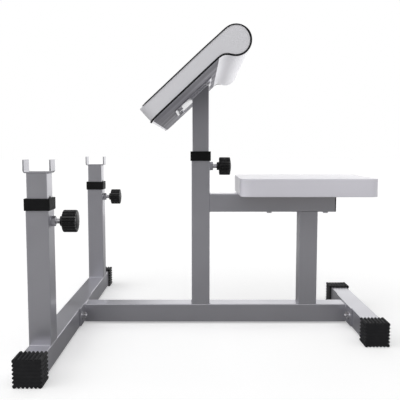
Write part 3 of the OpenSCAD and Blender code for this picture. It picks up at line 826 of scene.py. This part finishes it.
def build_arm_pad():
    R, TOPN, UND, LEN, HW, CR, FR = 36.2, 37.3, 3.8, 265.5, 282.5, 24.0, 20.0

    def top_n(s):
        return TOPN + (R - TOPN) * float(smooth01((s + 75) / 75))

    g = 0.25                                   # a little inside the CAD solid before it swells
    fs = math.sqrt((R + FR) ** 2 - (UND + FR) ** 2)
    contact = math.atan2(UND + FR, fs)         # direction of the fillet's middle seen from the roll's
    # chains from the lower end to the nose: (s, n, half width)
    dd = [CR * (1 - math.cos(math.radians(90 * i / 8))) for i in range(9)]
    ww = [HW - CR + CR * math.sin(math.radians(90 * i / 8)) for i in range(9)]
    m = 8                                      # rows of the side band
    nose = math.radians(30)
    top = [(-LEN + d, TOPN, w) for d, w in zip(dd, ww)]
    bot = [(-LEN + d, -UND, w) for d, w in zip(dd, ww)]
    n_flat = 32
    top += [(s, top_n(s), HW) for s in ring_subset(-LEN + CR, -fs, n_flat)]
    bot += [(s, -UND, HW) for s in ring_subset(-LEN + CR, -fs, n_flat)]
    nt = 16
    # top chain: straight to s=0, then the arc to the nose
    arc_t = R * (math.pi / 2 - nose)
    total_t = fs + arc_t
    for i in range(1, nt + 1):
        q = total_t * i / nt
        if q <= fs:
            top.append((-fs + q, top_n(-fs + q), HW))
        else:
            a = math.pi / 2 - (q - fs) / R
            top.append((R * math.cos(a), R * math.sin(a), HW))
    # bottom chain: fillet arc, then the roll's arc to the nose
    l1 = FR * (math.pi / 2 - contact)
    a_start = math.pi + contact
    a_end = 2 * math.pi - nose
    l2 = R * (a_end - a_start)
    for i in range(1, nt + 1):
        q = (l1 + l2) * i / nt
        if q <= l1:
            a = math.pi / 2 - q / FR
            bot.append((-fs + FR * math.cos(a), -(UND + FR) + FR * math.sin(a), HW))
        else:
            a = a_start + (q - l1) / R
            bot.append((R * math.cos(a), R * math.sin(a), HW))
    nose_pts = []
    for i in range(1, m):
        a = nose - 2 * nose * i / m
        nose_pts.append((R * math.cos(a), R * math.sin(a), HW))
    rows = top + nose_pts + bot[::-1]
    K = len(rows)
    nc = len(top)                              # chain length
    # columns across the pad, evenly spaced
    J = 84
    c = []
    for j in range(J + 1):
        t = -1 + 2 * j / J
        c.append(math.copysign(1 - (1 - abs(t)) ** 1.0, t))
    verts, idx = [], {}

    def put(key, p):
        idx[key] = len(verts)
        verts.append(p)
        return idx[key]

    info = []                                  # (region, how far from a seam in mm)
    for k, (s, n, w) in enumerate(rows):
        for j in range(J + 1):
            y = w * c[j]
            put(("w", k, j), pad_pt(s, y, n))
            info.append((k, j, s, n, y))
    # side band: near (j=0) and far (j=J) caps, and the lower end
    def band(col, k):
        """The column of band vertices between top chain k and bottom chain k on side col."""
        a, b = idx[("w", k, col)], idx[("w", K - 1 - k, col)]
        out = [a]
        for i in range(1, m):
            key = ("c", col, k, i)
            if key not in idx:
                pa, pb = np.array(verts[a]), np.array(verts[b])
                put(key, pa + (pb - pa) * i / m)
                info.append(("c", col, k, i, None))
            out.append(idx[key])
        out.append(b)
        return out

    faces = []
    for k in range(K - 1):
        for j in range(J):
            faces.append((idx[("w", k, j)], idx[("w", k, j + 1)], idx[("w", k + 1, j + 1)], idx[("w", k + 1, j)]))
    for col in (0, J):
        prev = band(col, 0)
        for k in range(1, nc):
            if k < nc - 1:
                cur = band(col, k)
            else:
                cur = [idx[("w", nc - 1 + i, col)] for i in range(m + 1)]
            for i in range(m):
                faces.append((prev[i], prev[i + 1], cur[i + 1], cur[i]))
            prev = cur
    prev = band(0, 0)
    for j in range(1, J + 1):
        if j < J:
            a, b = idx[("w", 0, j)], idx[("w", K - 1, j)]
            cur = [a]
            for i in range(1, m):
                pa, pb = np.array(verts[a]), np.array(verts[b])
                put(("e", j, i), pa + (pb - pa) * i / m)
                info.append(("e", j, None, i, None))
                cur.append(idx[("e", j, i)])
            cur.append(b)
        else:
            cur = band(J, 0)
        for i in range(m):
            faces.append((prev[i], prev[i + 1], cur[i + 1], cur[i]))
        prev = cur
    ob = make("arm_pad_cover", verts, faces)
    outward(ob)
    V = np.array(verts)
    # seam loop (indices), all round the side band
    loop = [idx[("w", 0, j)] for j in range(J + 1)]
    loop += [idx[("w", k, J)] for k in range(1, nc + m)]
    loop += [idx[("w", k, J)] for k in range(nc + m, K)]
    loop += [idx[("w", K - 1, j)] for j in range(J - 1, -1, -1)]
    loop += [idx[("w", k, 0)] for k in range(K - 2, 0, -1)]
    # how far each point may move
    limit = np.zeros(len(verts))
    seam_pts = V[loop]
    from mathutils.kdtree import KDTree
    kd = KDTree(len(loop))
    for i, p in enumerate(seam_pts):
        kd.insert(p, i)
    kd.balance()
    for i, inf in enumerate(info):
        d = kd.find(V[i])[2] * 1000
        if inf[0] in ("c", "e"):
            limit[i] = 0.0008 * float(smooth01(d / 10.0))
        else:
            k, j, s, n, y = inf
            on_under = k > nc + m - 2 and s < -fs + 8 and n < 0
            if on_under:
                limit[i] = 0.0
            else:
                f = float(smooth01(d / 95.0)) * 0.78 + 0.22 * float(smooth01(d / 14.0))
                roll = s > -fs
                limit[i] = (0.0022 if roll else 0.0058) * f
                if roll:
                    t = min(1.0, (s + fs) / 40.0)
                    limit[i] = (0.0058 * (1 - t) + 0.0022 * t) * f
                if k > nc + m - 2 and s < -fs + 30:
                    limit[i] *= max(0.0, (s + fs - 8) / 22.0)
    limit[loop] = 0.0
    cloth_puff(ob, limit, 4.0)
    return ob, loop, rows, J


arm_pad, arm_loop, arm_rows, ARM_COLS = build_arm_pad()
bm = bmesh.new()
bm.from_mesh(arm_pad.data)
bm.verts.ensure_lookup_table()
cr = bm.edges.layers.float.get("crease_edge") or bm.edges.layers.float.new("crease_edge")
loopset = set()
arm_pos = {v: i for i, v in enumerate(arm_loop)}
for a, b in zip(arm_loop, arm_loop[1:] + arm_loop[:1]):
    loopset.add(frozenset((a, b)))
for e in bm.edges:
    if frozenset((e.verts[0].index, e.verts[1].index)) in loopset:
        ends = [arm_pos[v.index] for v in e.verts]
        e[cr] = 0.2 if max(ends) <= ARM_COLS + 5 or min(ends) >= len(arm_loop) - 5 else 0.75
seam_co = [bm.verts[i].co.copy() for i in arm_loop]
seam_no = [bm.verts[i].normal.copy() for i in arm_loop]
bm.to_mesh(arm_pad.data)
bm.free()
sub = arm_pad.modifiers.new("sub", "SUBSURF")
sub.levels = sub.render_levels = 1
finish_piece(arm_pad, "arm_rest", "vinyl", M_VINYL_PAD, "arm_pad_cushion")

# piping round each side face, from its lower corner over the roll to the upper corner of the lower end
pp, side_n, cover_n = [], [], []
for c, n in zip(seam_co, seam_no):
    c, n = np.array(c), np.array(n)
    if abs(c[1]) > 0.2822:
        b = np.array([0.0, math.copysign(1.0, c[1]), 0.0])
    else:
        b = n - PN * float(n @ PN)
        b /= max(np.linalg.norm(b), 1e-9)
    t = n - b * float(n @ b)
    t /= max(np.linalg.norm(t), 1e-9)
    pp.append(c)
    side_n.append(b)
    cover_n.append(t)
pp, side_n, cover_n = np.array(pp), np.array(side_n), np.array(cover_n)
first = len(arm_loop) - (len(arm_rows) - 2)


def side_piping(name, order):
    p, sn, cn = pp[order], side_n[order], cover_n[order]
    seg = np.linalg.norm(np.diff(p, axis=0), axis=1)
    run = np.concatenate([[0.0], np.cumsum(seg)])
    off = (p - PO) @ PN                        # how far off the middle plane of the roll
    near = p[0][1] < 0
    rad = 0.0014 + 0.0009 * (1 - smooth01((off * 1000 + 8) / 24))
    if near:
        rad = np.maximum(rad, 0.0014 + 0.0011 * (1 - smooth01(run / 0.035)))
    else:
        rad = rad * (0.5 + 0.5 * smooth01(run / 0.012))
    rad = rad * (0.45 + 0.55 * smooth01((run[-1] - run) / 0.012))
    p = p + sn * 0.0007 - cn * (rad * (0.80 if near else 1.02))[:, None]
    for _ in range(2):
        p[1:-1] = 0.5 * p[1:-1] + 0.25 * (p[:-2] + p[2:])
    return sweep(name, p, rad, 12, False)


near_run = list(range(first - 1, len(arm_loop) - 4))
far_run = list(range(ARM_COLS + len(arm_rows) - 1, ARM_COLS + 4, -1))
piping = side_piping("arm_pad_piping", near_run)
piping_far = side_piping("arm_pad_far_piping", far_run)
finish_piece(piping_far, "arm_rest", "vinyl", M_PIPING)
finish_piece(piping, "arm_rest", "vinyl", M_PIPING)

# backing panel: grey board over almost the whole underside
def backing():
    s0, s1, hw, r = -260.5, -56.0, 278.0, 20.0
    pts = []
    for i in range(9):
        a = math.radians(180 + 90 * i / 8)
        pts.append((s0 + r + r * math.cos(a), -hw + r + r * math.sin(a)))
    pts += [(s1, -hw), (s1, hw)]
    for i in range(9):
        a = math.radians(90 + 90 * i / 8)
        pts.append((s0 + r + r * math.cos(a), hw - r + r * math.sin(a)))
    bm = bmesh.new()
    lo = [bm.verts.new(pad_pt(s, y, -5.0)) for s, y in pts]
    hi = [bm.verts.new(pad_pt(s, y, -3.0)) for s, y in pts]
    bm.faces.new(lo)
    bm.faces.new(hi[::-1])
    for i in range(len(pts)):
        j = (i + 1) % len(pts)
        bm.faces.new((lo[i], hi[i], hi[j], lo[j]))
    bmesh.ops.recalc_face_normals(bm, faces=bm.faces[:])
    edges = [e for e in bm.edges if abs(e.calc_face_angle(0)) > math.radians(60)]
    bmesh.ops.bevel(bm, geom=edges, offset=0.0005, segments=2, affect="EDGES", profile=0.5)
    me = bpy.data.meshes.new("arm_pad_backing")
    bm.to_mesh(me)
    bm.free()
    me.polygons.foreach_set("use_smooth", [True] * len(me.polygons))
    ob = bpy.data.objects.new("arm_pad_backing_panel", me)
    scene.collection.objects.link(ob)
    weighted(ob, 30)
    return finish_piece(ob, "arm_rest", "board", M_BACK)


backing()

# weld round the mast's sloped end, under the bracket
cut = []
for x, y in resample([(a, b) for a, b in rsq_path(0.0452, 0.0452, 0.0021)], 0.001, True):
    # the bracket's underside plane: n = -8.8
    X = -0.041 + x
    s_n = -8.8 * MM
    # point on the plane at this X: PO + s*PU + n*PN with x given
    s = (X - PO[0] - PN[0] * s_n) / PU[0]
    p = PO + PU * s + PN * s_n
    cut.append((X, y, p[2] - 0.0004))
wb = bead("mast_bracket_weld", cut, 0.0017, True, "", "", None, 5)
finish_piece(wb, "arm_rest", "sliding_paint", M_SLIDE)


# ------------------------------------------------------------------ seat
def build_seat():
    X0, X1, HW, CR = 61.5, 418.5, 140.0, 27.0
    Z0, Z1 = 366.7, 413.3
    nb = 8
    dd = [CR * (1 - math.cos(math.radians(90 * i / nb))) for i in range(nb + 1)]
    ww = [HW - CR + CR * math.sin(math.radians(90 * i / nb)) for i in range(nb + 1)]
    rows = [(X0 + d, w) for d, w in zip(dd, ww)]
    nm = 46
    rows += [(x, HW) for x in ring_subset(X0 + CR, X1 - CR, nm)][:-1]
    rows += [(X1 - d, w) for d, w in zip(dd[::-1], ww[::-1])]
    K, J, m = len(rows), 42, 8
    verts, idx, info = [], {}, []

    def put(key, p, inf):
        idx[key] = len(verts)
        verts.append((p[0] * MM, p[1] * MM, p[2] * MM))
        info.append(inf)

    for lvl, z in (("t", Z1), ("b", Z0)):
        for k, (x, w) in enumerate(rows):
            for j in range(J + 1):
                put((lvl, k, j), (x, w * (-1 + 2 * j / J), z), lvl)
    ring = [(0, j) for j in range(J + 1)] + [(k, J) for k in range(1, K)] + [(K - 1, j) for j in range(J - 1, -1, -1)] + [(k, 0) for k in range(K - 2, 0, -1)]
    cols = []
    for (k, j) in ring:
        a, b = idx[("t", k, j)], idx[("b", k, j)]
        col = [a]
        for i in range(1, m):
            pa, pb = verts[a], verts[b]
            t = i / m
            put(("s", k, j, i), tuple((pa[q] + (pb[q] - pa[q]) * t) / MM for q in range(3)), "s")
            col.append(idx[("s", k, j, i)])
        col.append(b)
        cols.append(col)
    faces = []
    for lvl in ("t", "b"):
        for k in range(K - 1):
            for j in range(J):
                faces.append((idx[(lvl, k, j)], idx[(lvl, k + 1, j)], idx[(lvl, k + 1, j + 1)], idx[(lvl, k, j + 1)]))
    for c0, c1 in zip(cols, cols[1:] + cols[:1]):
        for i in range(m):
            faces.append((c0[i], c0[i + 1], c1[i + 1], c1[i]))
    ob = make("seat_cover", verts, faces)
    outward(ob)
    top_loop = [c[0] for c in cols]
    bot_loop = [c[-1] for c in cols]
    V = np.array(verts)
    from mathutils.kdtree import KDTree
    kd = KDTree(len(top_loop))
    for i, q in enumerate(top_loop):
        kd.insert(V[q], q)
    kd.balance()
    limit = np.zeros(len(verts))
    for i, inf in enumerate(info):
        if inf == "t":
            d = kd.find(V[i])[2] * 1000
            limit[i] = 0.0046 * (0.8 * float(smooth01(d / 110.0)) + 0.2 * float(smooth01(d / 16.0)))
        elif inf == "s":
            z = V[i][2] * 1000
            t = (z - Z0) / (Z1 - Z0)
            limit[i] = 0.0010 * 4 * t * (1 - t)
    limit[top_loop] = 0
    limit[bot_loop] = 0
    cloth_puff(ob, limit, 4.0)
    bm = bmesh.new()
    bm.from_mesh(ob.data)
    cr = bm.edges.layers.float.new("crease_edge") if not bm.edges.layers.float.get("crease_edge") else bm.edges.layers.float.get("crease_edge")
    tl = set(frozenset(p) for p in zip(top_loop, top_loop[1:] + top_loop[:1]))
    bl = set(frozenset(p) for p in zip(bot_loop, bot_loop[1:] + bot_loop[:1]))
    for e in bm.edges:
        f = frozenset((e.verts[0].index, e.verts[1].index))
        if f in tl:
            e[cr] = 0.62
        elif f in bl:
            e[cr] = 0.45
    bm.to_mesh(ob.data)
    bm.free()
    sub = ob.modifiers.new("sub", "SUBSURF")
    sub.levels = sub.render_levels = 2
    return ob


seat = build_seat()
finish_piece(seat, "frame", "vinyl", M_VINYL, "seat_cushion")


# ------------------------------------------------------------------ floor and light
def floor(name, size, z, lo, hi, glow=0.0, painted_shadow_rings=None):
    bm = bmesh.new()
    bmesh.ops.create_grid(bm, x_segments=8, y_segments=8, size=size)
    me = bpy.data.meshes.new(name)
    bm.to_mesh(me)
    bm.free()
    ob = bpy.data.objects.new(name, me)
    ob.location = (0, 0, z)
    scene.collection.objects.link(ob)
    m = Mat(name, rough=0.9, specular=0.0)
    if painted_shadow_rings is None:
        m.color(m.mix(m.rng(m.noise(3.0, 2.0, 0.5), 0.3, 0.7), (lo, lo, lo), (hi, hi, hi)))
    else:
        # painted shadow of the bench: darker near it, lighter away from it
        ln = m.t.nodes.new("ShaderNodeVectorMath")
        ln.operation = "LENGTH"
        m.link(m.tc.outputs["Object"], ln.inputs[0])
        m.color(m.mix(m.rng(ln.outputs["Value"], painted_shadow_rings[0], painted_shadow_rings[1], smooth=True), (lo, lo, lo), (hi, hi, hi)))
    m.b.inputs["Emission Color"].default_value = (1, 1, 1, 1)
    m.b.inputs["Emission Strength"].default_value = glow
    me.materials.append(m.m)
    return ob


# the floor that is seen, and a smaller and greyer one under it that only lights the object, darker round its middle
# where the bench's shadow is painted
fl = floor("floor", 30.0, 0.0, 0.80, 0.81, 0.385)
fl.visible_glossy = False
fl.visible_diffuse = False
fl.visible_shadow = False
fb = floor("floor_bounce", 2.6, -0.0005, 0.303, 0.471, painted_shadow_rings=(0.3, 1.4))
fb.visible_camera = False
fb.visible_shadow = False

world = bpy.data.worlds.new("studio")
scene.world = world
world.use_nodes = True
wt = world.node_tree
wt.nodes.clear()


def wn(kind, *ins, **kw):
    n = wt.nodes.new(kind)
    for k, v in kw.items():
        setattr(n, k, v)
    for i, v in enumerate(ins):
        if v is None:
            continue
        if hasattr(v, "node"):
            wt.links.new(v, n.inputs[i])
        else:
            n.inputs[i].default_value = v
    return n.outputs[0]


def wmath(op, a, b=None, c=None):
    return wn("ShaderNodeMath", a, b, c, operation=op)


def wsmooth(v, a, b, lo, hi):
    n = wt.nodes.new("ShaderNodeMapRange")
    n.interpolation_type = "SMOOTHSTEP"
    wt.links.new(v, n.inputs["Value"])
    n.inputs["From Min"].default_value = a
    n.inputs["From Max"].default_value = b
    n.inputs["To Min"].default_value = lo
    n.inputs["To Max"].default_value = hi
    return n.outputs[0]


tc = wt.nodes.new("ShaderNodeTexCoord")
sep = wt.nodes.new("ShaderNodeSeparateXYZ")
wt.links.new(tc.outputs["Generated"], sep.inputs[0])
dx, dy, dz = sep.outputs
az = wmath("ARCTAN2", dx, dy)
# soft boxes overhead, lower in front of the bench and weaker straight above it
TOP = wsmooth(wmath("SUBTRACT", dz, wmath("MULTIPLY_ADD", dy, 0.06, wmath("MULTIPLY", dx, 0.30))), 0.31, 0.80, 0.0, 1.62)
TOP = wmath("MULTIPLY", TOP, wsmooth(dz, 0.60, 0.90, 1.0, 0.10))
# round the bench: a white wall behind it and to the right, a panel on the left,
# a narrower one on the right of the camera, and a dark room between them
ramp = wt.nodes.new("ShaderNodeValToRGB")
ramp.color_ramp.interpolation = "EASE"
stops = [(-180, 0.20), (-130, 0.20), (-106, 0.70), (-80, 0.70), (-60, 0.07), (-10, 0.065), (-7, 0.40), (-4, 0.95), (4, 1.0), (14, 0.98),
         (75, 0.85), (98, 0.40), (118, 0.45), (146, 0.45), (158, 0.20), (180, 0.20)]
cr_ = ramp.color_ramp
while len(cr_.elements) < len(stops):
    cr_.elements.new(0.5)
for e, (deg, v) in zip(cr_.elements, stops):
    e.position = (deg + 180) / 360
for e, (deg, v) in zip(cr_.elements, stops):
    e.color = (v, v, v, 1)
wt.links.new(wmath("MULTIPLY_ADD", az, 0.5 / math.pi, 0.5), ramp.inputs[0])
WALL = wmath("MULTIPLY", ramp.outputs[0], 1.25)
WALL = wmath("MULTIPLY", WALL, wsmooth(dz, -0.12, 0.12, 0.75, 1.0))
low = wsmooth(dz, 0.25, 0.80, 1.0, 0.0)
light = wmath("ADD", TOP, wmath("MULTIPLY", WALL, low))
# a soft light high up on the near side, for the cushions' near faces
HIGH = wmath("MULTIPLY", wsmooth(wmath("MULTIPLY", dy, -1.0), 0.10, 0.45, 0.0, 1.0), wsmooth(dz, 0.55, 0.78, 0.0, 1.0))
light = wmath("ADD", light, HIGH)
lp = wt.nodes.new("ShaderNodeLightPath")
seen = wmath("MAXIMUM", lp.outputs["Is Camera Ray"], 0.0)
mixv = wmath("ADD", wmath("MULTIPLY", light, wmath("SUBTRACT", 1.0, seen)), wmath("MULTIPLY", seen, 1.0))
comb = wt.nodes.new("ShaderNodeCombineColor")
for i in range(3):
    wt.links.new(mixv, comb.inputs[i])
bg = wt.nodes.new("ShaderNodeBackground")
wt.links.new(comb.outputs[0], bg.inputs["Color"])
bg.inputs["Strength"].default_value = 1.0
out = wt.nodes.new("ShaderNodeOutputWorld")
wt.links.new(bg.outputs[0], out.inputs[0])

# a soft light from below on the right, for the arm pad's underside and the knobs alone
ld = bpy.data.lights.new("right_strip", "AREA")
ld.shape = "RECTANGLE"
ld.size, ld.size_y = 1.0, 0.6
ld.energy = 7
lo = bpy.data.objects.new("right_strip", ld)
lo.location = (0.72, -0.12, -0.22)
lo.rotation_euler = (Vector((0.0, 0.0, 0.70)) - Vector(lo.location)).to_track_quat("-Z", "Y").to_euler()
scene.collection.objects.link(lo)
only = bpy.data.collections.new("lit_by_right_strip")
for ob in (arm_pad, *KNOBS):
    only.objects.link(ob)
lo.light_linking.receiver_collection = only
shades = bpy.data.collections.new("shading_right_strip")
shades.objects.link(arm_pad)
lo.light_linking.blocker_collection = shades
lo.visible_camera = False

kd_ = bpy.data.lights.new("knob_light", "AREA")
kd_.shape = "RECTANGLE"
kd_.size, kd_.size_y = 0.3, 0.7
kd_.energy = 30
ko = bpy.data.objects.new("knob_light", kd_)
ko.location = (1.5, -0.15, 0.75)
ko.rotation_euler = (Vector((-0.3, -0.1, 0.35)) - Vector(ko.location)).to_track_quat("-Z", "Y").to_euler()
ko.visible_camera = False
scene.collection.objects.link(ko)
rims = bpy.data.collections.new("lit_by_knob_light")
for ob in (*KNOBS, *PINS):
    rims.objects.link(ob)
ko.light_linking.receiver_collection = rims

scene.view_settings.view_transform = "Standard"
scene.view_settings.look = "None"
scene.view_settings.exposure = 0.0
scene.view_settings.gamma = 1.0
